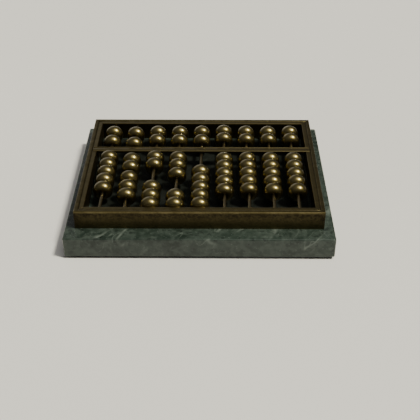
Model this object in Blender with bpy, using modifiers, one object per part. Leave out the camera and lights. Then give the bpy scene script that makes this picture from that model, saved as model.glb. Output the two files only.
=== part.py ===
"""Brass desk abacus on a stone base: nine rods, each with two beads behind the beam and five in front.

Metres, +Z up. The origin is the centre of the base's underside. +X runs along the beam, and the
five-bead deck, which faces the person who counts, is at -Y. Rods are numbered from -X. Upper beads
are numbered from the rear rail forwards, and lower beads from the beam forwards.
"""

import math

import bmesh
import bpy
from mathutils import Matrix, Vector

MM = 0.001

# Clearances
FIT_GAP = 0.25 * MM  # between fixed pieces that lie or fit against each other
BEAD_GAP = 0.25 * MM  # between a bead and whatever it lies against
BORE_CLEARANCE = 0.35 * MM  # between a rod and the bore of a bead

# Frame
ROD_COUNT = 9
ROD_PITCH = 14.1 * MM
END_SPACE = 8.4 * MM  # from the first rod's axis to the side rail's inner face
LOWER_DECK = 59.6 * MM  # from the front rail to the beam
UPPER_DECK = 30.2 * MM  # from the beam to the rear rail
RAIL_WIDTH = 5.2 * MM
FRAME_HEIGHT = 11.5 * MM
RIDGE_WIDTH = 2.7 * MM  # the rounded moulding along a rail's outer edge
RIDGE_RISE = 1.1 * MM
GROOVE_WIDTH = 0.7 * MM  # between the ridge and the flat inner strip
STRIP_DROP = 0.4 * MM  # how far the inner strip lies below the ridge's crest
BEAM_WIDTH = 4.8 * MM
BEAM_THICKNESS = 1.7 * MM
BEAM_LAP = 2.2 * MM  # how far the beam's ends are let into the side rails
BEAM_EDGE = 0.35 * MM

# Rods and beads
ROD_RADIUS = 1.0 * MM
ROD_SEAT = 3.0 * MM  # depth of the blind holes that hold a rod's ends
BEAD_RADIUS = 5.7 * MM
BEAD_THICKNESS = 8.2 * MM
BEAD_FACE_RADIUS = 2.6 * MM  # the flat end faces

# Base
BASE_THICKNESS = 12.0 * MM
BASE_SIDE_MARGIN = 5.9 * MM
BASE_REAR_MARGIN = 8.1 * MM
BASE_FRONT_MARGIN = 10.0 * MM
BASE_BEVEL = 0.8 * MM
FELT_THICKNESS = 1.5 * MM
FELT_INSET = 2.0 * MM

# Screws that hold the frame down from below
SCREW_RADIUS = 1.25 * MM
SCREW_HEAD_RADIUS = 2.25 * MM
SCREW_HEAD_HEIGHT = 1.6 * MM
SCREW_GRIP = 6.0 * MM  # how far a screw reaches into its rail
SCREW_SINK = 3.0 * MM  # depth of the counterbore under the base
SCREW_SETBACK = 16.0 * MM  # from a side rail's end to its screw
SLOT_WIDTH = 0.6 * MM
SLOT_DEPTH = 0.7 * MM

# Facets of the round pieces
BEAD_SIDES = 12
BEAD_ARC_STEPS = 4
ROD_SIDES = 12
RIDGE_STEPS = 6

# Where the beads lie at rest, in shares of the deck's free run, which is what the beads leave empty.
# Upper deck: behind the rear bead, then between the two beads.
UPPER_REST = {
    1: (0.46, 0.20),
    2: (0.52, 0.33),
    3: (0.43, 0.13),
    4: (0.43, 0.14),
    5: (0.40, 0.17),
    6: (0.32, 0.06),
    7: (0.39, 0.09),
    8: (0.42, 0.06),
    9: (0.38, 0.05),
}
# Lower deck: from the beam to the first bead, then in front of each bead but the last.
LOWER_REST = {
    1: (0.05, 0, 0, 0, 0.02),
    2: (0.20, 0.01, 0.18, 0.065, 0.015),
    3: (0.05, 0, 0.935, 0.015, 0),
    4: (0.09, 0, 0.08, 0.83, 0),
    5: (0.985, 0.015, 0, 0, 0),
    6: (0.155, 0, 0, 0, 0.02),
    7: (0.125, 0, 0, 0, 0.01),
    8: (0.135, 0, 0, 0, 0.025),
    9: (0.135, 0, 0, 0, 0.02),
}
# Lower beads that lie together and are made as one turned stack: (first bead, last bead).
LOWER_GROUPS = {
    1: ((1, 4), (5, 5)),
    2: ((1, 1), (2, 2), (3, 3), (4, 4), (5, 5)),
    3: ((1, 2), (3, 5)),
    4: ((1, 2), (3, 3), (4, 5)),
    5: ((1, 1), (2, 5)),
    6: ((1, 4), (5, 5)),
    7: ((1, 4), (5, 5)),
    8: ((1, 4), (5, 5)),
    9: ((1, 4), (5, 5)),
}
UPPER_BEADS = 2
LOWER_BEADS = 5

# Sizes and places that follow from these
INNER_WIDTH = (ROD_COUNT - 1) * ROD_PITCH + 2 * END_SPACE
FRAME_WIDTH = INNER_WIDTH + 2 * RAIL_WIDTH
FRAME_DEPTH = LOWER_DECK + BEAM_WIDTH + UPPER_DECK + 2 * RAIL_WIDTH
FRAME_FRONT = -(FRAME_DEPTH + BASE_REAR_MARGIN - BASE_FRONT_MARGIN) / 2
FRAME_REAR = FRAME_FRONT + FRAME_DEPTH
FRAME_MIDDLE = (FRAME_FRONT + FRAME_REAR) / 2
FRONT_STOP = FRAME_FRONT + RAIL_WIDTH
BEAM_FRONT = FRONT_STOP + LOWER_DECK
BEAM_REAR = BEAM_FRONT + BEAM_WIDTH
REAR_STOP = BEAM_REAR + UPPER_DECK

BASE_BOTTOM = FELT_THICKNESS + FIT_GAP
BASE_TOP = BASE_BOTTOM + BASE_THICKNESS
FRAME_BOTTOM = BASE_TOP + FIT_GAP
FRAME_TOP = FRAME_BOTTOM + FRAME_HEIGHT
BEAM_BOTTOM = FRAME_TOP - BEAM_THICKNESS
ROD_AXIS = BEAM_BOTTOM - FIT_GAP - ROD_RADIUS

BEAD_STEP = BEAD_THICKNESS + BEAD_GAP
UPPER_RUN = UPPER_DECK - UPPER_BEADS * BEAD_STEP - BEAD_GAP
LOWER_RUN = LOWER_DECK - LOWER_BEADS * BEAD_STEP - BEAD_GAP


def rod_x(rod):
    """X of a rod's axis, with the rods spread evenly about the middle."""
    return (rod - (ROD_COUNT + 1) / 2) * ROD_PITCH


def bead_centres(start, run, shares):
    """Y of each bead's middle, counted forwards from the stop at start."""
    centres = []
    face = start - BEAD_GAP
    for share in shares:
        face -= share * run
        centres.append(face - BEAD_THICKNESS / 2)
        face -= BEAD_STEP
    return centres


def clear_scene():
    for obj in list(bpy.data.objects):
        bpy.data.objects.remove(obj)


def new_collection(name):
    collection = bpy.data.collections.new(name)
    bpy.context.scene.collection.children.link(collection)
    return collection


def new_material(name, colour, roughness, metallic):
    material = bpy.data.materials.new(name)
    material.use_nodes = True
    shader = material.node_tree.nodes["Principled BSDF"]
    shader.inputs["Base Color"].default_value = (*colour, 1)
    shader.inputs["Roughness"].default_value = roughness
    shader.inputs["Metallic"].default_value = metallic
    return material


def move_to(obj, collection):
    for old in list(obj.users_collection):
        old.objects.unlink(obj)
    collection.objects.link(obj)


def finish_part(obj, material):
    """Puts a sub-part in the object's collection and gives it its material."""
    move_to(obj, PARTS)
    if not obj.data.materials:
        obj.data.materials.append(material)
    return obj


def finish_cutter(obj):
    move_to(obj, CUTTERS)
    obj.hide_render = True
    obj.display_type = "WIRE"
    return obj


def cut(obj, cutter):
    """Takes the cutter's shape away from a piece."""
    boolean = obj.modifiers.new("cut_by_" + cutter.name, "BOOLEAN")
    boolean.operation = "DIFFERENCE"
    boolean.object = cutter


def bevel(obj, width, segments):
    modifier = obj.modifiers.new("edges", "BEVEL")
    modifier.width = width
    modifier.segments = segments


def block(name, low, high):
    """A rectangular block between two opposite corners."""
    low, high = Vector(low), Vector(high)
    bpy.ops.mesh.primitive_cube_add(size=1, location=(low + high) / 2)
    obj = bpy.context.object
    obj.name = name
    obj.scale = high - low
    bpy.ops.object.transform_apply(location=False, rotation=False, scale=True)
    return obj


def long_cylinder(name, radius, x, front, rear):
    """A cylinder along Y at the height of the rods."""
    bpy.ops.mesh.primitive_cylinder_add(
        vertices=ROD_SIDES,
        radius=radius,
        depth=rear - front,
        location=(x, (front + rear) / 2, ROD_AXIS),
        rotation=(math.pi / 2, 0, 0),
    )
    obj = bpy.context.object
    obj.name = name
    obj.data.shade_smooth()
    obj.data.set_sharp_from_angle(angle=math.radians(40))
    return obj


def turned_mesh(name, outline, ring):
    """A profile of (radius, height) points for a Screw modifier; a ring's profile is closed."""
    last = len(outline) if ring else len(outline) - 1
    edges = [(i, (i + 1) % len(outline)) for i in range(last)]
    mesh = bpy.data.meshes.new(name)
    mesh.from_pydata([(radius, 0, height) for radius, height in outline], edges, [])
    return mesh


def turned(name, mesh, steps):
    """An object whose profile is turned about its own Z."""
    obj = bpy.data.objects.new(name, mesh)
    screw = obj.modifiers.new("turning", "SCREW")
    screw.axis = "Z"
    screw.steps = steps
    screw.render_steps = steps
    screw.use_merge_vertices = True
    screw.merge_threshold = 0.00001
    return obj


def rail_outline():
    """A rail's section: x runs inwards from the outer face and y upwards from the base."""
    foot = FRAME_HEIGHT - RIDGE_RISE
    ridge = []
    for step in range(RIDGE_STEPS + 1):
        angle = math.pi * (1 - step / RIDGE_STEPS)
        across = RIDGE_WIDTH / 2 * (1 + math.cos(angle))
        ridge.append((across, foot + RIDGE_RISE * math.sin(angle)))
    strip = FRAME_HEIGHT - STRIP_DROP
    groove_end = RIDGE_WIDTH + GROOVE_WIDTH
    inner = [(groove_end, foot), (groove_end, strip), (RAIL_WIDTH, strip), (RAIL_WIDTH, 0)]
    return [(0, 0), *ridge, *inner]


def extruded(name, outline, length):
    """A flat outline extruded along X, with the outline's x as Y and its y as Z."""
    curve = bpy.data.curves.new(name, "CURVE")
    curve.dimensions = "2D"
    curve.fill_mode = "BOTH"
    curve.extrude = length / 2
    spline = curve.splines.new("POLY")
    spline.points.add(len(outline) - 1)
    for point, (x, y) in zip(spline.points, outline):
        point.co = (x, y, 0, 1)
    spline.use_cyclic_u = True
    drawn = bpy.data.objects.new(name, curve)
    PARTS.objects.link(drawn)
    bpy.context.view_layer.update()
    graph = bpy.context.evaluated_depsgraph_get()
    mesh = bpy.data.meshes.new_from_object(drawn.evaluated_get(graph))
    bpy.data.objects.remove(drawn)
    bm = bmesh.new()
    bm.from_mesh(mesh)
    bmesh.ops.remove_doubles(bm, verts=bm.verts, dist=0.000001)
    turn = Matrix(((0, 0, 1, 0), (1, 0, 0, 0), (0, 1, 0, 0), (0, 0, 0, 1)))
    bmesh.ops.transform(bm, matrix=turn, verts=bm.verts)
    return bm, mesh


def mitre(bm, corner, outwards):
    """Cuts a bar off square to the direction outwards, half a fitting gap short of the corner."""
    outwards = Vector(outwards).normalized()
    bmesh.ops.bisect_plane(
        bm,
        geom=bm.verts[:] + bm.edges[:] + bm.faces[:],
        plane_co=Vector(corner) - outwards * FIT_GAP / 2,
        plane_no=outwards,
        clear_outer=True,
    )
    open_edges = [edge for edge in bm.edges if edge.is_boundary]
    bmesh.ops.holes_fill(bm, edges=open_edges)


def rail(name, length, middle, turn):
    """A moulded rail with mitred ends: its outer face passes through middle and looks along -Y turned."""
    bm, mesh = extruded(name, rail_outline(), length)
    mitre(bm, (-length / 2, 0, 0), (-1, 1, 0))
    mitre(bm, (length / 2, 0, 0), (1, 1, 0))
    bmesh.ops.recalc_face_normals(bm, faces=bm.faces)
    bm.to_mesh(mesh)
    bm.free()
    obj = bpy.data.objects.new(name, mesh)
    obj.location = (*middle, FRAME_BOTTOM)
    obj.rotation_euler = (0, 0, turn)
    return finish_part(obj, BRASS)


def join_cutters(name, pieces):
    """One cutter made of several that don't meet."""
    bpy.ops.object.select_all(action="DESELECT")
    for piece in pieces:
        piece.select_set(True)
    bpy.context.view_layer.objects.active = pieces[0]
    bpy.ops.object.join()
    pieces[0].name = name
    return finish_cutter(pieces[0])


def rod_holes():
    """Blind holes in the front and rear rails, one pair in line for each rod."""
    front, rear = FRONT_STOP - ROD_SEAT, REAR_STOP + ROD_SEAT
    radius = ROD_RADIUS + FIT_GAP
    holes = [
        long_cylinder("rod_hole", radius, rod_x(rod), front, rear)
        for rod in range(1, ROD_COUNT + 1)
    ]
    return join_cutters("rod_holes", holes)


def beam_seats():
    """Two housings in the side rails, open at the top, that hold the beam's ends."""
    seats = []
    for side in (-1, 1):
        x = (side * (INNER_WIDTH / 2 - RAIL_WIDTH), side * (INNER_WIDTH / 2 + BEAM_LAP + FIT_GAP))
        low = (min(x), BEAM_FRONT - FIT_GAP, BEAM_BOTTOM - FIT_GAP)
        high = (max(x), BEAM_REAR + FIT_GAP, FRAME_TOP + RAIL_WIDTH)
        seats.append(block("beam_seat", low, high))
    return join_cutters("beam_seats", seats)


def screw_places():
    """X and Y of the four screws, two in each side rail."""
    x = (INNER_WIDTH + RAIL_WIDTH) / 2
    front, rear = FRAME_FRONT + SCREW_SETBACK, FRAME_REAR - SCREW_SETBACK
    return [(-x, front), (x, front), (-x, rear), (x, rear)]


def screw_outline(clearance):
    """A screw standing head down on its axis, or with a clearance, the stepped hole around it."""
    shoulder = BASE_BOTTOM + SCREW_SINK
    top = BASE_TOP + SCREW_GRIP + clearance
    under = shoulder - FIT_GAP if not clearance else shoulder
    bottom = under - SCREW_HEAD_HEIGHT if not clearance else BASE_BOTTOM - FELT_THICKNESS
    shank, head = SCREW_RADIUS + clearance, SCREW_HEAD_RADIUS + clearance
    return [(0, top), (shank, top), (shank, under), (head, under), (head, bottom), (0, bottom)]


def screw_holes():
    """Counterbored holes up through the base, with their blind ends in the side rails."""
    mesh = turned_mesh("screw_hole", screw_outline(FIT_GAP), ring=False)
    holes = []
    for x, y in screw_places():
        hole = turned("screw_hole", mesh, ROD_SIDES)
        hole.location = (x, y, 0)
        CUTTERS.objects.link(hole)
        holes.append(hole)
    bpy.context.view_layer.update()
    graph = bpy.context.evaluated_depsgraph_get()
    for hole in holes:
        solid = bpy.data.meshes.new_from_object(hole.evaluated_get(graph))
        hole.modifiers.clear()
        hole.data = solid
    return join_cutters("screw_holes", holes)


def make_frame():
    side_x = FRAME_WIDTH / 2
    front = rail("front_rail", FRAME_WIDTH, (0, FRAME_FRONT), 0)
    rear = rail("rear_rail", FRAME_WIDTH, (0, FRAME_REAR), math.pi)
    left = rail("left_rail", FRAME_DEPTH, (-side_x, FRAME_MIDDLE), -math.pi / 2)
    right = rail("right_rail", FRAME_DEPTH, (side_x, FRAME_MIDDLE), math.pi / 2)
    holes = rod_holes()
    cut(front, holes)
    cut(rear, holes)
    seats = beam_seats()
    screws = screw_holes()
    for side in (left, right):
        cut(side, seats)
        cut(side, screws)
    return screws


def make_beam():
    """A flat bar across the frame, let into the side rails, with the rods bedded against its underside."""
    end = INNER_WIDTH / 2 + BEAM_LAP
    beam = block("beam", (-end, BEAM_FRONT, BEAM_BOTTOM), (end, BEAM_REAR, FRAME_TOP))
    bevel(beam, BEAM_EDGE, 1)
    finish_part(beam, BRASS)


def make_rods():
    reach = ROD_SEAT - FIT_GAP
    for rod in range(1, ROD_COUNT + 1):
        name = f"rod_{rod}"
        bar = long_cylinder(name, ROD_RADIUS, rod_x(rod), FRONT_STOP - reach, REAR_STOP + reach)
        finish_part(bar, ROD_METAL)


def make_base(screws):
    side = FRAME_WIDTH / 2 + BASE_SIDE_MARGIN
    front, rear = FRAME_FRONT - BASE_FRONT_MARGIN, FRAME_REAR + BASE_REAR_MARGIN
    slab = block("marble_base", (-side, front, BASE_BOTTOM), (side, rear, BASE_TOP))
    bevel(slab, BASE_BEVEL, 2)
    cut(slab, screws)
    finish_part(slab, STONE)
    inset = FELT_INSET
    low = (-side + inset, front + inset, 0)
    high = (side - inset, rear - inset, FELT_THICKNESS)
    finish_part(block("felt_pad", low, high), FELT)


def make_screws():
    mesh = turned_mesh("base_screw", screw_outline(0), ring=False)
    bottom = BASE_BOTTOM + SCREW_SINK - FIT_GAP - SCREW_HEAD_HEIGHT
    for number, (x, y) in enumerate(screw_places(), 1):
        screw = turned(f"base_screw_{number}", mesh, ROD_SIDES)
        screw.location = (x, y, 0)
        reach = SCREW_HEAD_RADIUS * 2
        low = (x - reach, y - SLOT_WIDTH / 2, bottom - SLOT_DEPTH)
        high = (x + reach, y + SLOT_WIDTH / 2, bottom + SLOT_DEPTH)
        cut(screw, finish_cutter(block(f"screw_slot_{number}", low, high)))
        finish_part(screw, STEEL)


def bead_outline(centres):
    """The turned profile of beads on one axis: half-ellipse rims joined at their flat faces.

    Each rim's radius is the face radius plus the bulge times the cosine of an angle that runs from
    the upper face to the lower, while the height follows its sine. The bore closes the profile.
    """
    half, bulge = BEAD_THICKNESS / 2, BEAD_RADIUS - BEAD_FACE_RADIUS
    bore = ROD_RADIUS + BORE_CLEARANCE
    rims = []
    for centre in centres:
        for step in range(BEAD_ARC_STEPS + 1):
            angle = math.pi * (0.5 - step / BEAD_ARC_STEPS)
            radius = BEAD_FACE_RADIUS + bulge * math.cos(angle)
            rims.append((radius, centre + half * math.sin(angle)))
    return [(bore, rims[0][1]), *rims, (bore, rims[-1][1])]


def place_beads(name, rod, centres, meshes):
    """A bead, or a stack of them, on its rod: its own Z lies along the rod, towards the rear."""
    middle = (centres[0] + centres[-1]) / 2
    heights = [centre - middle for centre in centres]
    key = tuple(round(height / MM, 3) for height in heights)
    if key not in meshes:
        meshes[key] = turned_mesh(f"beads_{len(meshes) + 1}", bead_outline(heights), ring=True)
    obj = turned(name, meshes[key], BEAD_SIDES)
    obj.location = (rod_x(rod), middle, ROD_AXIS)
    obj.rotation_euler = (-math.pi / 2, 0, 0)
    finish_part(obj, BEAD_METAL)


def make_beads():
    meshes = {}
    for rod in range(1, ROD_COUNT + 1):
        upper = bead_centres(REAR_STOP, UPPER_RUN, UPPER_REST[rod])
        for number, centre in enumerate(upper, 1):
            place_beads(f"upper_bead_{rod}_{number}", rod, [centre], meshes)
        lower = bead_centres(BEAM_FRONT, LOWER_RUN, LOWER_REST[rod])
        for first, last in LOWER_GROUPS[rod]:
            kind = "bead" if first == last else "stack"
            label = f"{first}" if first == last else f"{first}_to_{last}"
            place_beads(f"lower_{kind}_{rod}_{label}", rod, lower[first - 1 : last], meshes)


clear_scene()
PARTS = new_collection("abacus")
CUTTERS = new_collection("abacus_cutters")
BRASS = new_material("frame_brass", (0.30, 0.24, 0.13), 0.42, 1)
ROD_METAL = new_material("rod_brass", (0.42, 0.37, 0.25), 0.35, 1)
BEAD_METAL = new_material("bead_brass", (0.38, 0.30, 0.12), 0.3, 1)
STONE = new_material("green_marble", (0.08, 0.11, 0.09), 0.25, 0)
FELT = new_material("green_felt", (0.02, 0.06, 0.03), 0.95, 0)
STEEL = new_material("screw_steel", (0.5, 0.5, 0.5), 0.35, 1)

SCREW_CUTTER = make_frame()
make_beam()
make_rods()
make_base(SCREW_CUTTER)
make_screws()
make_beads()
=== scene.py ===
"""The looks of a brass desk abacus on a green marble base.

Metres, +Z up. +X runs along the beam, and the five-bead deck is at -Y. Every piece is a grid of
points worked out whole from a formula, and takes its size and place from the part that it stands for.
"""

import math

import bpy
import numpy as np
from mathutils import Matrix, Vector


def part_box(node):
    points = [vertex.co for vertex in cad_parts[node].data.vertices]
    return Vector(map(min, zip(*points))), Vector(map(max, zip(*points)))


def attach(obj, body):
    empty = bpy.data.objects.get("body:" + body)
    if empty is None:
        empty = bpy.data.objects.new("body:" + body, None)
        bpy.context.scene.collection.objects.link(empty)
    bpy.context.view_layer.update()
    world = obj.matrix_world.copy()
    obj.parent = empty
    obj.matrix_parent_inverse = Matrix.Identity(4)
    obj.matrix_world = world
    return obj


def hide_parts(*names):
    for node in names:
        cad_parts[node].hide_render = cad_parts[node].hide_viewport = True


MM = 0.001
ROOT = "frame_and_base"
ROD_COUNT = 9
SCREW_COUNT = 4
RNG = np.random.default_rng(9)  # how the loose beads lean

# Round work
BEAD_AROUND = 64
BEAD_RIM_STEPS = 28
FACE_RADIUS = 1.9 * MM  # flat ring round a bead's bore
BORE_RADIUS = 1.3 * MM
BORE_ROUNDING = 0.25 * MM
BEAD_TILT = math.radians(0.8)  # how far a loose bead may lean on its rod
BORE_STEPS = 4
ROD_AROUND = 40
ROD_STATIONS = 60
ROD_END = 0.7  # how far the ends of a rod are drawn in, as a share of its radius

# Moulding on top of the rails
RIDGE_WIDTH = 2.3 * MM
RIDGE_RISE = 0.35 * MM
GROOVE_WIDTH = 0.5 * MM
GROOVE_DEPTH = 0.22 * MM
STRIP_DROP = 0.25 * MM
ARRIS = 0.35 * MM  # rounding of a sharp brass edge
MITRE_NICK = 0.12 * MM  # the fine line where two rails meet
RAIL_STATIONS = 40

# Beam
BEAM_BEAD_WIDTH = 0.9 * MM  # the fine rounded line along its rear edge
BEAM_BEAD_RISE = 0.28 * MM
BEAM_GROOVE_WIDTH = 0.55 * MM
BEAM_GROOVE_DEPTH = 0.25 * MM
BEAM_RISE = 0.35 * MM  # of the broad front ridge
BEAM_STATIONS = 60

# Slab and felt
SLAB_CORNER, SLAB_EDGE = 1.2 * MM, 0.8 * MM
FELT_CORNER, FELT_EDGE = 1.5 * MM, 0.35 * MM

# Finishes
LACQUER_ROUGHNESS = 0.09
FINE_BUMP = 0.05 * MM
FELT_BUMP = 0.25 * MM
SHADE_FADE = 2 * MM  # over which the painted shade between the rails begins
DARK_STONE = (0.014, 0.022, 0.017, 1)
GREEN_STONE = (0.028, 0.041, 0.033, 1)
MOTTLE = (0.060, 0.077, 0.066, 1)
FLECK = (0.075, 0.092, 0.080, 1)
SPECK = (0.010, 0.015, 0.012, 1)
VEIN = (0.17, 0.20, 0.175, 1)
# dark colour painted as shade on the stone between the rails
PAINTED_SHADE_STONE = (0.007, 0.007, 0.006, 1)
DARK_WOOL = (0.006, 0.020, 0.011, 1)
GREEN_WOOL = (0.018, 0.052, 0.028, 1)
WORN_WOOL = (0.03, 0.07, 0.04, 1)
BRIGHT_STEEL = (0.55, 0.54, 0.52, 1)
DULL_STEEL = (0.28, 0.26, 0.24, 1)
FLOOR_TONES = ((0.80, 0.79, 0.77, 1), (0.83, 0.82, 0.80, 1))

# Studio
LENS, SENSOR = 69.65, 36  # mm
CAMERA_PLACE = (0.0639, -2.6109, 1.9495)  # frame widths from the foot of the front rail's middle
CAMERA_ANGLES = (90 - 35.42, 0.05, 0.435)
KEY = dict(energy=3.9, spread=9, colour=(1.0, 0.962, 0.80), direction=(0.46, -0.17, 0.87))
SHEEN = dict(energy=0.6, spread=45, colour=(1.0, 0.97, 0.92), direction=(0.30, -0.12, 0.94))
LAMP_DISTANCE = 2
WORLD_COLOUR = (1.0, 0.985, 0.95, 1)
WINDOW_DIRECTION = (-0.42, 0.90, 0.07)
FLOOR_REACH = 3


# ---------------------------------------------------------------- meshes

def quads(rows, columns, wrap_rows, wrap_columns):
    """Four corner numbers for each cell of a grid, wrapped round where asked."""
    r = np.arange(rows if wrap_rows else rows - 1)[:, None]
    c = np.arange(columns if wrap_columns else columns - 1)[None, :]
    r_next, c_next = (r + 1) % rows, (c + 1) % columns
    corners = (r * columns + c, r * columns + c_next, r_next * columns + c_next, r_next * columns + c)
    return np.stack([np.broadcast_to(k, (len(r), c.shape[1])).ravel() for k in corners], axis=1)


def enclosed(points, faces):
    """Six times the volume that the faces enclose, which is negative when they face inwards."""
    a, b, c, d = (points[faces[:, k]] for k in range(4))
    return np.einsum("ij,ij->", a, np.cross(b, c)) + np.einsum("ij,ij->", a, np.cross(c, d))


def surface(name, grid, wrap_rows=True, wrap_columns=True, caps=False, masks=None, sharp=None):
    """A mesh object from a grid of points, closed by wrapping or by a flat cap on its first and last rows.

    Faces are turned outwards by the sign of the volume they enclose. Masks are point attributes, and
    edges that bend by more than sharp degrees stay crisp.
    """
    rows, columns = grid.shape[:2]
    points = grid.reshape(-1, 3)
    faces = quads(rows, columns, wrap_rows, wrap_columns)
    inward = enclosed(points - points.mean(axis=0), faces) < 0
    ring = np.arange(columns)
    ends = [ring[::-1], (rows - 1) * columns + ring] if caps else []
    polygons = faces.tolist() + [end.tolist() for end in ends]
    if inward:
        polygons = [corners[::-1] for corners in polygons]
    mesh = bpy.data.meshes.new(name)
    mesh.from_pydata(points.tolist(), [], polygons)
    mesh.validate()
    for mask, values in (masks or {}).items():
        attribute = mesh.attributes.new(mask, "FLOAT", "POINT")
        every_point = np.broadcast_to(values, (rows, columns)).astype(np.float32)
        attribute.data.foreach_set("value", every_point.ravel())
    mesh.polygons.foreach_set("use_smooth", np.ones(len(mesh.polygons), bool))
    if sharp is not None:
        mesh.set_sharp_from_angle(angle=math.radians(sharp))
    obj = bpy.data.objects.new(name, mesh)
    bpy.context.scene.collection.objects.link(obj)
    return obj


def arc(centre, radii, start, stop, steps):
    """Points of an elliptic arc: centre + (a cos t, b sin t), with t in degrees from start to stop."""
    t = np.radians(np.linspace(start, stop, steps + 1))
    return np.stack([centre[0] + radii[0] * np.cos(t), centre[1] + radii[1] * np.sin(t)], axis=1)


def finish_piece(obj, material, body, node=None):
    """Dresses a piece, ties it to its body and hides the part that it stands for, when given."""
    obj.data.materials.append(material)
    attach(obj, body)
    if node:
        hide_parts(node)
    return obj


# ---------------------------------------------------------------- shader groups

def new_group(name, inputs, outputs):
    """An empty node group with the named sockets; returns it with its input and output nodes."""
    group = bpy.data.node_groups.new(name, "ShaderNodeTree")
    for label, kind, value in inputs:
        socket = group.interface.new_socket(name=label, in_out="INPUT", socket_type="NodeSocket" + kind)
        socket.default_value = value
    for label, kind in outputs:
        group.interface.new_socket(name=label, in_out="OUTPUT", socket_type="NodeSocket" + kind)
    return group, group.nodes.new("NodeGroupInput"), group.nodes.new("NodeGroupOutput")


def put(tree, kind, links=None, **settings):
    """A node with its settings, its inputs given as a value or as the socket that feeds them."""
    node = tree.nodes.new("ShaderNode" + kind)
    for key, value in settings.items():
        setattr(node, key, value)
    for key, value in (links or {}).items():
        socket = node.inputs[key]
        if isinstance(value, bpy.types.NodeSocket):
            tree.links.new(value, socket)
        else:
            socket.default_value = value
    return node


def maths(tree, operation, a, b=0.0, clamp=False):
    """The outcome of one sum, product or other operation on two values."""
    return put(tree, "Math", {0: a, 1: b}, operation=operation, use_clamp=clamp).outputs[0]


def product(tree, a, b):
    """Two vectors multiplied part by part."""
    return put(tree, "VectorMath", {0: a, 1: b}, operation="MULTIPLY").outputs[0]


def remap(tree, value, low, high, to_low=0.0, to_high=1.0):
    """The value carried smoothly from one range to another."""
    links = {"Value": value, "From Min": low, "From Max": high, "To Min": to_low, "To Max": to_high}
    return put(tree, "MapRange", links, interpolation_type="SMOOTHSTEP").outputs["Result"]


def blend_colours(tree, share, a, b):
    """Colour a carried to colour b by a share from 0 to 1."""
    mix = put(tree, "Mix", data_type="RGBA")
    for index, value in ((0, share), (6, a), (7, b)):
        if isinstance(value, bpy.types.NodeSocket):
            tree.links.new(value, mix.inputs[index])
        else:
            mix.inputs[index].default_value = value
    return mix.outputs[2]


def mask_of(tree, name):
    """A mask that the mesh carries at its points."""
    return put(tree, "Attribute", attribute_name=name).outputs["Fac"]


def blotch_group():
    """Soft patches: noise on object coordinates stretched by Stretch, cut smoothly between Low and High."""
    inputs = (
        ("Scale", "Float", 100.0),
        ("Stretch", "Vector", (1, 1, 1)),
        ("Detail", "Float", 4.0),
        ("Low", "Float", 0.4),
        ("High", "Float", 0.6),
        ("Warp", "Float", 0.0),
    )
    group, start, end = new_group("blotches", inputs, (("Mask", "Float"),))
    where = put(group, "TexCoord").outputs["Object"]
    stretched = product(group, where, start.outputs["Stretch"])
    links = {
        "Vector": stretched,
        "Scale": start.outputs["Scale"],
        "Detail": start.outputs["Detail"],
        "Distortion": start.outputs["Warp"],
    }
    noise = put(group, "TexNoise", links).outputs["Fac"]
    mask = remap(group, noise, start.outputs["Low"], start.outputs["High"])
    group.links.new(mask, end.inputs["Mask"])
    return group


def blotches(tree, scale, low, high, stretch=(1, 1, 1), detail=4.0, warp=0.0):
    """The mask of one blotches group with its own values."""
    values = {"Scale": scale, "Stretch": stretch, "Detail": detail, "Low": low, "High": high, "Warp": warp}
    return put(tree, "Group", values, node_tree=BLOTCHES).outputs["Mask"]


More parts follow.
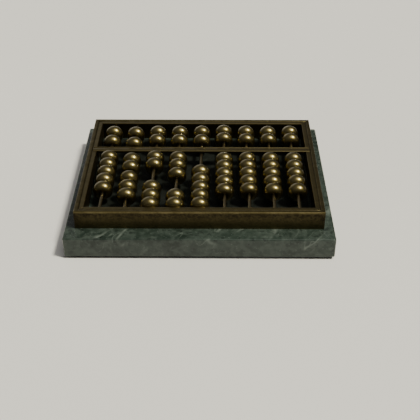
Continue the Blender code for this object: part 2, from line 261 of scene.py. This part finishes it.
def aged_brass_group():
    """Brass that hands keep bright on its crests, and that darkens in its recesses.

    Colour goes from Bright to Tarnish with broad blotches and the crest mask, then to the dark colour in the
    recess mask, which is partly grime and partly painted shade. On the rails' outer faces the crest mask
    paints a lit reflection and the recess mask a shaded one. Roughness rises with tarnish and the recess
    mask. Height holds the working marks and fine pits.
    """
    inputs = (
        ("Bright", "Color", (0.5, 0.4, 0.2, 1)),
        ("Tarnish", "Color", (0.2, 0.15, 0.07, 1)),
        ("Grime And Shade", "Color", (0.02, 0.016, 0.01, 1)),
        ("Tarnish Share", "Float", 0.5),
        ("Smooth", "Float", 0.2),
        ("Dull", "Float", 0.45),
        ("Marks", "Vector", (1, 1, 1)),
    )
    outputs = (("Color", "Color"), ("Roughness", "Float"), ("Height", "Float"))
    group, start, end = new_group("aged_brass", inputs, outputs)
    broad = blotches(group, 230, 0.2, 0.8, detail=6.0, warp=0.6)
    fine = blotches(group, 900, 0.42, 0.62, detail=3.0)
    spots = blotches(group, 420, 0.64, 0.74, detail=2.0)
    crest, recess = mask_of(group, "crest"), mask_of(group, "recess")
    uneven = remap(group, broad, 0.0, 1.0, 0.3, 0.75)
    # The crest mask keeps worn metal bright, and at the foot of the rails' outer faces it paints a lit
    # reflection.
    worn = maths(group, "MULTIPLY", crest, 0.75)
    kept = maths(group, "SUBTRACT", 1.0, worn)
    doubled = maths(group, "MULTIPLY", start.outputs["Tarnish Share"], 2.0)
    tarnish = maths(group, "MULTIPLY", maths(group, "MULTIPLY", uneven, kept), doubled, True)
    tarnish = maths(group, "ADD", tarnish, maths(group, "MULTIPLY", spots, 0.35), True)
    metal = blend_colours(group, tarnish, start.outputs["Bright"], start.outputs["Tarnish"])
    # The recess mask darkens towards the dark colour: partly grime, partly painted shade and painted shaded
    # reflection.
    dirt_and_shade = maths(group, "MULTIPLY", recess, remap(group, fine, 0.0, 1.0, 0.75, 1.0), True)
    colour = blend_colours(group, dirt_and_shade, metal, start.outputs["Grime And Shade"])
    group.links.new(colour, end.inputs["Color"])
    dulled = maths(group, "MAXIMUM", tarnish, dirt_and_shade)
    smudge = maths(group, "MULTIPLY", fine, 0.15)
    links = {
        "Value": maths(group, "ADD", dulled, smudge),
        "From Min": 0.0,
        "From Max": 1.15,
        "To Min": start.outputs["Smooth"],
        "To Max": start.outputs["Dull"],
    }
    group.links.new(put(group, "MapRange", links).outputs["Result"], end.inputs["Roughness"])
    where = put(group, "TexCoord").outputs["Object"]
    scored = product(group, where, start.outputs["Marks"])
    lines = put(group, "TexNoise", {"Vector": scored, "Scale": 1.0, "Detail": 2.0}).outputs["Fac"]
    pits = maths(group, "MULTIPLY", spots, -0.6)
    height = maths(group, "ADD", maths(group, "MULTIPLY", lines, 0.5), pits)
    group.links.new(height, end.inputs["Height"])
    return group


# ---------------------------------------------------------------- materials

def new_material(name):
    """A material with its node tree and its shader."""
    material = bpy.data.materials.new(name)
    material.use_nodes = True
    tree = material.node_tree
    return material, tree, tree.nodes["Principled BSDF"]


def add_bump(tree, shader, height, strength, distance):
    """Fine relief from a height mask, on the shader's normal."""
    bump = put(tree, "Bump", {"Height": height, "Strength": strength, "Distance": distance})
    tree.links.new(bump.outputs["Normal"], shader.inputs["Normal"])


def brass_material(name, bright, tarnish, share, smooth, dull, marks, bump, lacquer=0.0):
    """Aged brass, with a share of clear lacquer: marks is how dense the working marks are along X, Y and Z."""
    material, tree, shader = new_material(name)
    values = {
        "Bright": (*bright, 1),
        "Tarnish": (*tarnish, 1),
        "Tarnish Share": share,
        "Smooth": smooth,
        "Dull": dull,
        "Marks": marks,
    }
    node = put(tree, "Group", values, node_tree=AGED_BRASS)
    shader.inputs["Metallic"].default_value = 1.0
    shader.inputs["Coat Weight"].default_value = lacquer
    shader.inputs["Coat Roughness"].default_value = LACQUER_ROUGHNESS
    tree.links.new(node.outputs["Color"], shader.inputs["Base Color"])
    tree.links.new(node.outputs["Roughness"], shader.inputs["Roughness"])
    add_bump(tree, shader, node.outputs["Height"], bump, FINE_BUMP)
    return material


def marble_material():
    """Polished serpentine: green-grey clouds, mottling, dark specks and pale slanting veins of two widths.

    A vein lies where a stretched noise crosses its middle value, and fades in and out with patches.
    Between the rails the stone is darkened as painted shade, and is made rougher and less reflective.
    """
    material, tree, shader = new_material("green_marble")
    clouds = blotches(tree, 36, 0.30, 0.70, detail=8.0, warp=0.8)
    mottle = blotches(tree, 320, 0.36, 0.68, detail=7.0, warp=0.3)
    flecks = blotches(tree, 700, 0.58, 0.72, detail=4.0)
    specks = blotches(tree, 330, 0.60, 0.70, detail=2.0)
    stone = blend_colours(tree, clouds, DARK_STONE, GREEN_STONE)
    for mask, strength, colour in ((mottle, 0.60, MOTTLE), (flecks, 0.35, FLECK), (specks, 0.65, SPECK)):
        stone = blend_colours(tree, maths(tree, "MULTIPLY", mask, strength), stone, colour)
    where = put(tree, "TexCoord").outputs["Object"]
    patches = blotches(tree, 75, 0.46, 0.64, detail=4.0)
    for scale, width, strength, tilt in ((38.0, 0.024, 0.55, 1.1), (110.0, 0.020, 0.35, 0.9)):
        links = {"Vector": where, "Location": (0.7, 0.2, 0.4), "Rotation": (0.3, 0.2, tilt)}
        slanting = put(tree, "Mapping", {**links, "Scale": (2.6, 0.8, 1.4)}, vector_type="TEXTURE").outputs[0]
        links = {"Vector": slanting, "Scale": scale, "Detail": 1.0, "Distortion": 0.0}
        noise = put(tree, "TexNoise", links).outputs["Fac"]
        off = maths(tree, "ABSOLUTE", maths(tree, "SUBTRACT", noise, 0.5))
        line = remap(tree, off, 0.0, width, 1.0, 0.0)
        broken = maths(tree, "MULTIPLY", line, maths(tree, "MULTIPLY", patches, strength))
        stone = blend_colours(tree, broken, stone, VEIN)
    # Painted shade: the stone between the rails is darkened, fading in over the last millimetres.
    left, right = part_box("left_rail")[1].x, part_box("right_rail")[0].x
    front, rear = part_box("front_rail")[1].y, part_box("rear_rail")[0].y
    at = put(tree, "SeparateXYZ", {0: where}).outputs
    within = []
    for value, low, high in ((at["X"], left, right), (at["Y"], front, rear)):
        middle, half = (low + high) / 2, (high - low) / 2
        off = maths(tree, "ABSOLUTE", maths(tree, "SUBTRACT", value, middle))
        within.append(remap(tree, off, half - SHADE_FADE, half, 1.0, 0.0))
    painted_shade = maths(tree, "MULTIPLY", *within)
    colour = blend_colours(tree, maths(tree, "MULTIPLY", painted_shade, 0.85), stone, PAINTED_SHADE_STONE)
    tree.links.new(colour, shader.inputs["Base Color"])
    polish = remap(tree, flecks, 0.0, 1.0, 0.20, 0.32)
    rough = maths(tree, "ADD", polish, maths(tree, "MULTIPLY", painted_shade, 0.22))
    tree.links.new(rough, shader.inputs["Roughness"])
    tree.links.new(remap(tree, painted_shade, 0.0, 1.0, 0.35, 0.08), shader.inputs["Specular IOR Level"])
    add_bump(tree, shader, flecks, 0.08, FINE_BUMP)
    return material


def felt_material():
    """Pressed wool: matted fibres from two noises, one stretched, over dark green."""
    material, tree, shader = new_material("green_felt")
    fibres = blotches(tree, 2600, 0.35, 0.7, stretch=(1, 0.35, 1), detail=6.0, warp=1.5)
    tufts = blotches(tree, 500, 0.35, 0.65, detail=4.0)
    base = blend_colours(tree, fibres, DARK_WOOL, GREEN_WOOL)
    worn = blend_colours(tree, maths(tree, "MULTIPLY", tufts, 0.35), base, WORN_WOOL)
    tree.links.new(worn, shader.inputs["Base Color"])
    shader.inputs["Roughness"].default_value = 0.95
    shader.inputs["Sheen Weight"].default_value = 0.35
    add_bump(tree, shader, maths(tree, "ADD", fibres, tufts), 0.7, FELT_BUMP)
    return material


def steel_material():
    """Plated steel with a few dull spots."""
    material, tree, shader = new_material("plated_steel")
    spots = blotches(tree, 700, 0.55, 0.72)
    colour = blend_colours(tree, spots, BRIGHT_STEEL, DULL_STEEL)
    tree.links.new(colour, shader.inputs["Base Color"])
    tree.links.new(remap(tree, spots, 0.0, 1.0, 0.28, 0.5), shader.inputs["Roughness"])
    shader.inputs["Metallic"].default_value = 1.0
    return material


def floor_material():
    """Pale matt paper, hardly uneven."""
    material, tree, shader = new_material("studio_floor")
    tone = blotches(tree, 3.0, 0.2, 0.8)
    tree.links.new(blend_colours(tree, tone, *FLOOR_TONES), shader.inputs["Base Color"])
    shader.inputs["Roughness"].default_value = 0.8
    return material


# ---------------------------------------------------------------- pieces

def bead_profile(radius, thickness):
    """(radius, height) points round a bead's section, closed: half-ellipse rim, flat faces, eased bore.

    The rim is face radius + bulge cos t, half thickness x sin t, for t from 90 to -90 degrees.
    """
    half = thickness / 2
    rim = arc((FACE_RADIUS, 0), (radius - FACE_RADIUS, half), 90, -90, BEAD_RIM_STEPS)
    mouth = BORE_RADIUS + BORE_ROUNDING
    lower = arc((mouth, -half + BORE_ROUNDING), (BORE_ROUNDING, BORE_ROUNDING), -90, -180, BORE_STEPS)
    bore = np.stack([np.full(3, BORE_RADIUS), np.linspace(-0.6, 0.6, 3) * half], axis=1)
    upper = arc((mouth, half - BORE_ROUNDING), (BORE_ROUNDING, BORE_ROUNDING), 180, 90, BORE_STEPS)
    return np.concatenate([rim, lower, bore, upper])


def bead(name, centre, radius, thickness):
    """The section turned about Y through the bead's middle, leaning by a small angle about X and Z.

    The crest mask is the square of how far out a point lies, and the recess mask paints shade on the flat
    faces round the bore, where the beads meet.
    """
    profile = bead_profile(radius, thickness)
    turn = np.linspace(0, 2 * np.pi, BEAD_AROUND, endpoint=False)
    r, h = profile[:, :1], profile[:, 1:]
    local = np.stack([r * np.cos(turn), np.broadcast_to(h, (len(r), BEAD_AROUND)), r * np.sin(turn)], axis=-1)
    lean_x, lean_z = RNG.uniform(-BEAD_TILT, BEAD_TILT, 2)
    leaning = np.array(Matrix.Rotation(lean_x, 3, "X") @ Matrix.Rotation(lean_z, 3, "Z"))
    grid = local @ leaning.T + np.array(centre)
    share = np.clip((r - FACE_RADIUS) / (radius - FACE_RADIUS), 0, 1)
    # The recess mask here is painted shade round the bore.
    masks = {"crest": share**2, "recess": 0.7 * np.clip(1 - share * 4, 0, 1) ** 1.5}
    return surface(name, grid, masks=masks, sharp=50)


def bead_middles(node, count, thickness, step):
    """Y of each bead of a part, from the rear: one at its rear end, the others packed from its front end."""
    low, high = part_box(node)
    rear, front = high.y - thickness / 2, low.y + thickness / 2
    packed = [front + step * k for k in range(count - 1)]
    return [rear, *packed[::-1]] if count > 1 else [rear]


def make_beads(material):
    """Every bead as a piece of its own, where a stack's beads ride together on the stack's body."""
    low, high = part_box("lower_bead_2_1")
    radius, thickness = (high.x - low.x) / 2, high.y - low.y
    pair_low, pair_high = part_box("lower_stack_4_4_to_5")
    step = pair_high.y - pair_low.y - thickness
    for node in sorted(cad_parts):
        words = node.split("_")
        if words[0] not in ("upper", "lower"):
            continue
        first, last = int(words[3]), int(words[-1])
        low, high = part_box(node)
        x, z = (low.x + high.x) / 2, (low.z + high.z) / 2
        middles = bead_middles(node, last - first + 1, thickness, step)
        for number, y in enumerate(middles, first):
            name = f"turned_{words[0]}_bead_{words[2]}_{number}"
            piece = bead(name, (x, y, z), radius, thickness)
            finish_piece(piece, material, node, node if number == first else None)


def make_rods(material):
    """Each rod is a drawn cylinder: circles of one radius along Y, smaller at both ends, closed by a cap."""
    for number in range(1, ROD_COUNT + 1):
        low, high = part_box(f"rod_{number}")
        radius = (high.x - low.x) / 2
        x, z = (low.x + high.x) / 2, (low.z + high.z) / 2
        along = np.linspace(low.y, high.y, ROD_STATIONS)
        y = np.concatenate([[low.y, low.y], along[1:-1], [high.y, high.y]])
        r = np.full(len(y), radius)
        r[[0, -1]] = radius * ROD_END
        turn = np.linspace(0, 2 * np.pi, ROD_AROUND, endpoint=False)
        r, y = r[:, None], y[:, None]
        grid = np.stack(np.broadcast_arrays(x + r * np.cos(turn), y, z + r * np.sin(turn)), axis=-1)
        masks = {"crest": 0.35, "recess": 0.0}
        piece = surface(f"drawn_rod_{number}", grid, wrap_rows=False, caps=True, masks=masks, sharp=40)
        finish_piece(piece, material, ROOT, f"rod_{number}")


def full_ridge(start, stop, foot, rise, steps=20):
    """A crest fuller than an ellipse: across cos t and up sin t, each to the power 0.7."""
    t = np.radians(np.linspace(180, 0, steps + 1))
    across = np.sign(np.cos(t)) * np.abs(np.cos(t)) ** 0.7
    half = (stop - start) / 2
    return np.stack([start + half * (1 + across), foot + rise * np.abs(np.sin(t)) ** 0.7], axis=1)


def rail_profile(width, height):
    """(inwards, upwards) points round a rail's section with their crest and recess masks.

    A full ridge along the outer edge, a fine cove beside it, and a flat inner strip with an eased edge.
    The outer face carries a painted reflection: lighter at its foot and darker towards its top.
    """
    foot, strip = height - RIDGE_RISE, height - STRIP_DROP
    ridge = full_ridge(0, RIDGE_WIDTH, foot, RIDGE_RISE)
    ridge = ridge[(ridge[:, 0] < RIDGE_WIDTH / 2) | (ridge[:, 1] > strip - GROOVE_DEPTH / 2)]
    cove_start = ridge[-1, 0] + 0.02 * MM
    cove = arc((cove_start + GROOVE_WIDTH / 2, strip), (GROOVE_WIDTH / 2, GROOVE_DEPTH), -170, -10, 8)
    inner = arc((width - ARRIS, strip - ARRIS), (ARRIS, ARRIS), 90, 0, 5)
    across = np.linspace(cove[-1, 0] + 0.05 * MM, width - ARRIS, 6)[:-1]
    flat = np.stack([across, np.full(5, strip)], axis=1)
    wall = np.stack([np.full(5, width), np.linspace(strip * 0.85, 0, 5)], axis=1)
    outer = np.stack([np.zeros(9), np.linspace(0, foot, 10)[:-1]], axis=1)
    climb = np.linspace(0, 1, len(outer))
    parts = (
        # Outer face: painted reflection of lit stone at the foot and of shade towards the top.
        (outer, 1.3 * (1 - climb), climb**0.6),
        (ridge, 0.25, 0),
        (cove, 0, 0.6),
        (flat, 0.55, 0),
        (inner, 1.0, 0),
        (wall, 0, 0.3),
    )
    points = np.concatenate([p for p, _, _ in parts])
    crest = np.concatenate([np.broadcast_to(c, len(p)) for p, c, _ in parts])
    recess = np.concatenate([np.broadcast_to(r, len(p)) for p, _, r in parts])
    return points, crest, recess


def moulded_rail(name, node, length, middle, turn, base, material):
    """The rail's section carried along its length with mitred ends: x = t (length / 2 - inwards)."""
    low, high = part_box(node)
    width = min(high.x - low.x, high.y - low.y)
    profile, crest, recess = rail_profile(width, high.z - low.z)
    nick = MITRE_NICK / (length / 2)
    t = np.concatenate([[-1], np.linspace(-1 + nick, 1 - nick, RAIL_STATIONS), [1]])
    centre = profile.mean(axis=0)
    sections = np.broadcast_to(profile, (len(t), *profile.shape)).copy()
    for end in (0, -1):
        inwards = centre - profile
        sections[end] += inwards / np.linalg.norm(inwards, axis=1, keepdims=True) * MITRE_NICK
    u, v = sections[..., 0], sections[..., 1]
    x = t[:, None] * (length / 2 - u)
    c, s = math.cos(turn), math.sin(turn)
    grid = np.stack([middle[0] + c * x - s * u, middle[1] + s * x + c * u, base + v], axis=-1)
    near_end = np.clip(1 - (length / 2 - np.abs(x)) / (2.5 * width), 0, 1)
    # The recess mask of the section, with its painted shade and reflection, darkened further towards the
    # mitred ends.
    dirt_and_shade = np.clip(recess + 0.25 * near_end**3, 0, 1)
    dirt_and_shade[[0, -1]] = 1.0
    masks = {"crest": crest * (1 - 0.3 * near_end), "recess": dirt_and_shade}
    piece = surface(name, grid, wrap_rows=False, caps=True, masks=masks, sharp=35)
    finish_piece(piece, material, ROOT, node)


def make_frame(material):
    left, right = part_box("left_rail"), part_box("right_rail")
    front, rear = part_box("front_rail"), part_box("rear_rail")
    x_low, x_high, y_low, y_high = left[0].x, right[1].x, front[0].y, rear[1].y
    x, y, base = (x_low + x_high) / 2, (y_low + y_high) / 2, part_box("marble_base")[1].z
    wide, deep = x_high - x_low, y_high - y_low
    moulded_rail("moulded_front_rail", "front_rail", wide, (x, y_low), 0, base, material)
    moulded_rail("moulded_rear_rail", "rear_rail", wide, (x, y_high), math.pi, base, material)
    moulded_rail("moulded_left_rail", "left_rail", deep, (x_low, y), -math.pi / 2, base, material)
    moulded_rail("moulded_right_rail", "right_rail", deep, (x_high, y), math.pi / 2, base, material)


def beam_profile(width, thickness):
    """(forwards, upwards) points round the beam: a fine rear bead, a shallow groove, a broad front ridge.

    Each is half of an ellipse on the same foot line, the bead and the ridge upwards, the groove downwards.
    """
    top, half_bead, half_groove = thickness - BEAM_RISE, BEAM_BEAD_WIDTH / 2, BEAM_GROOVE_WIDTH / 2
    start = BEAM_BEAD_WIDTH + BEAM_GROOVE_WIDTH
    rear = arc((half_bead, top), (half_bead, BEAM_BEAD_RISE), 180, 0, 8)
    dip = arc((start - half_groove, top), (half_groove, BEAM_GROOVE_DEPTH), -180, 0, 6)[1:]
    ridge = arc(((start + width) / 2, top), ((width - start) / 2, BEAM_RISE), 180, 0, 14)[1:]
    foot = np.array([[width, top / 2], [width, 0], [width * 0.5, 0], [0, 0], [0, top / 2]])
    points = np.concatenate([rear, dip, ridge, foot])
    counts = [len(part) for part in (rear, dip, ridge, foot)]
    # The faces below the top carry painted shade through the recess mask, and the groove is darkened too.
    crest = np.repeat([0.8, 0, 0.7, 0], counts)
    recess = np.repeat([0, 0.8, 0, 0.5], counts)
    recess[counts[0] + counts[1] - 1] = 0.2  # where the groove meets the ridge
    return points, crest, recess


def make_beam(material):
    """The beam's section carried straight along X between its seats in the side rails."""
    low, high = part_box("beam")
    profile, crest, recess = beam_profile(high.y - low.y, high.z - low.z)
    x = np.linspace(low.x, high.x, BEAM_STATIONS)[:, None]
    grid = np.stack(np.broadcast_arrays(x, high.y - profile[:, 0], low.z + profile[:, 1]), axis=-1)
    masks = {"crest": crest, "recess": recess}
    piece = surface("moulded_beam", grid, wrap_rows=False, caps=True, masks=masks, sharp=35)
    finish_piece(piece, material, ROOT, "beam")


def rounded_block(name, low, high, corner, edge, steps=6):
    """A slab with rounded edges: loops of a rounded rectangle, each set in by edge (1 - sin t) near a face."""
    centre = ((low[0] + high[0]) / 2, (low[1] + high[1]) / 2)
    half = ((high[0] - low[0]) / 2, (high[1] - low[1]) / 2)
    t = np.linspace(0, np.pi / 2, steps + 1)
    inset = np.concatenate([edge * (1 - np.sin(t)), edge * (1 - np.sin(t[::-1]))])
    z = np.concatenate([low[2] + edge * (1 - np.cos(t)), high[2] - edge * (1 - np.cos(t[::-1]))])
    turn = np.concatenate([np.linspace(q, q + 90, steps + 1) for q in (0, 90, 180, 270)])
    cos, sin = np.cos(np.radians(turn)), np.sin(np.radians(turn))
    side_x = np.repeat([1, -1, -1, 1], steps + 1) * (half[0] - corner)
    side_y = np.repeat([1, 1, -1, -1], steps + 1) * (half[1] - corner)
    radius = corner - inset[:, None]
    x = centre[0] + side_x + radius * cos
    y = centre[1] + side_y + radius * sin
    grid = np.stack(np.broadcast_arrays(x, y, z[:, None]), axis=-1)
    return surface(name, grid, wrap_rows=False, caps=True, sharp=30)


def make_base():
    low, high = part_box("marble_base")
    felt_low, felt_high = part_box("felt_pad")
    slab = rounded_block("polished_marble_slab", (low.x, low.y, felt_high.z), high, SLAB_CORNER, SLAB_EDGE)
    finish_piece(slab, marble_material(), ROOT, "marble_base")
    felt = rounded_block("felt_underlay", felt_low, felt_high, FELT_CORNER, FELT_EDGE, steps=4)
    finish_piece(felt, felt_material(), ROOT, "felt_pad")


def make_screws():
    steel = steel_material()
    for number in range(1, SCREW_COUNT + 1):
        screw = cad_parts[f"base_screw_{number}"]
        screw.data.materials.clear()
        screw.data.materials.append(steel)


# ---------------------------------------------------------------- studio

def make_camera():
    """A long lens in front of the abacus and a little to the right, looking down at it from 35 degrees."""
    left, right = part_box("left_rail")[0].x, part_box("right_rail")[1].x
    foot = Vector(((left + right) / 2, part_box("front_rail")[0].y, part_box("marble_base")[1].z))
    data = bpy.data.cameras.new("camera")
    data.lens, data.sensor_width = LENS, SENSOR
    data.clip_start, data.clip_end = 0.01, 20
    camera = bpy.data.objects.new("camera", data)
    camera.location = foot + Vector(CAMERA_PLACE) * (right - left)
    camera.rotation_euler = [math.radians(angle) for angle in CAMERA_ANGLES]
    bpy.context.scene.collection.objects.link(camera)
    bpy.context.scene.camera = camera


def sun_lamp(name, energy, spread, colour, direction):
    """A distant lamp, spread degrees across, that lies in a direction from the abacus and faces it."""
    data = bpy.data.lights.new(name, "SUN")
    data.energy, data.angle, data.color = energy, math.radians(spread), colour
    way = Vector(direction).normalized()
    lamp = bpy.data.objects.new(name, data)
    lamp.location = way * LAMP_DISTANCE
    lamp.rotation_mode = "QUATERNION"
    lamp.rotation_quaternion = way.to_track_quat("Z", "Y")
    bpy.context.scene.collection.objects.link(lamp)


def make_world():
    """Light from all round, brighter overhead than at the horizon, with a soft window behind on the left.

    Below the horizon it is nearly as bright as the floor, and the camera itself sees a plain pale ground.
    """
    world = bpy.data.worlds.new("studio")
    world.use_nodes = True
    tree = world.node_tree
    direction = put(tree, "TexCoord").outputs["Generated"]
    height = put(tree, "SeparateXYZ", {0: direction}).outputs["Z"]
    level = remap(tree, height, 0.1, 0.95, 0.04, 0.20)
    level = maths(tree, "MAXIMUM", level, remap(tree, height, -0.02, -0.2, 0.0, 0.7))
    window = Vector(WINDOW_DIRECTION).normalized()
    facing = put(tree, "VectorMath", {0: direction, 1: window}, operation="DOT_PRODUCT").outputs["Value"]
    level = maths(tree, "ADD", level, remap(tree, facing, 0.78, 0.97, 0.0, 0.50))
    seen = put(tree, "LightPath").outputs["Is Camera Ray"]
    plain = maths(tree, "MULTIPLY", seen, 0.85)
    level = maths(tree, "MAXIMUM", level, plain)
    tree.links.new(level, tree.nodes["Background"].inputs["Strength"])
    tree.nodes["Background"].inputs["Color"].default_value = WORLD_COLOUR
    bpy.context.scene.world = world


def make_studio():
    """A flat floor, the two lamps and the light from all round."""
    corners = np.array([[[-1, -1, 0], [1, -1, 0]], [[-1, 1, 0], [1, 1, 0]]]) * float(FLOOR_REACH)
    floor = surface("studio_floor", corners, wrap_rows=False, wrap_columns=False)
    floor.data.materials.append(floor_material())
    sun_lamp("key", **KEY)
    sun_lamp("sheen", **SHEEN)
    make_world()


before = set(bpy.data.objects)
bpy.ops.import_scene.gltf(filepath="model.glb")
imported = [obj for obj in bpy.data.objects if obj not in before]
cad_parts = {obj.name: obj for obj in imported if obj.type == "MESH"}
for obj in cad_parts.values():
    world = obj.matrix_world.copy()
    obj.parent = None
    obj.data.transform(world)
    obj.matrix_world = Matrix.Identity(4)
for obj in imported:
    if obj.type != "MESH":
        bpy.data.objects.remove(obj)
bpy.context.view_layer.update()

BLOTCHES = blotch_group()
AGED_BRASS = aged_brass_group()
FRAME_BRASS = brass_material(
    "frame_brass",
    bright=(0.19, 0.155, 0.072),
    tarnish=(0.075, 0.060, 0.024),
    share=0.70,
    smooth=0.26,
    dull=0.46,
    marks=(60, 60, 3000),
    bump=0.2,
)
ROD_BRASS = brass_material(
    "rod_brass",
    bright=(0.24, 0.20, 0.12),
    tarnish=(0.10, 0.08, 0.045),
    share=0.5,
    smooth=0.25,
    dull=0.45,
    marks=(3000, 40, 3000),
    bump=0.2,
)
BEAD_BRASS = brass_material(
    "bead_brass",
    bright=(0.205, 0.163, 0.054),
    tarnish=(0.110, 0.087, 0.028),
    share=0.45,
    smooth=0.29,
    dull=0.39,
    marks=(150, 4200, 150),
    bump=0.05,
    lacquer=0.8,
)

make_camera()
make_frame(FRAME_BRASS)
make_beam(FRAME_BRASS)
make_rods(ROD_BRASS)
make_beads(BEAD_BRASS)
make_base()
make_screws()
make_studio()
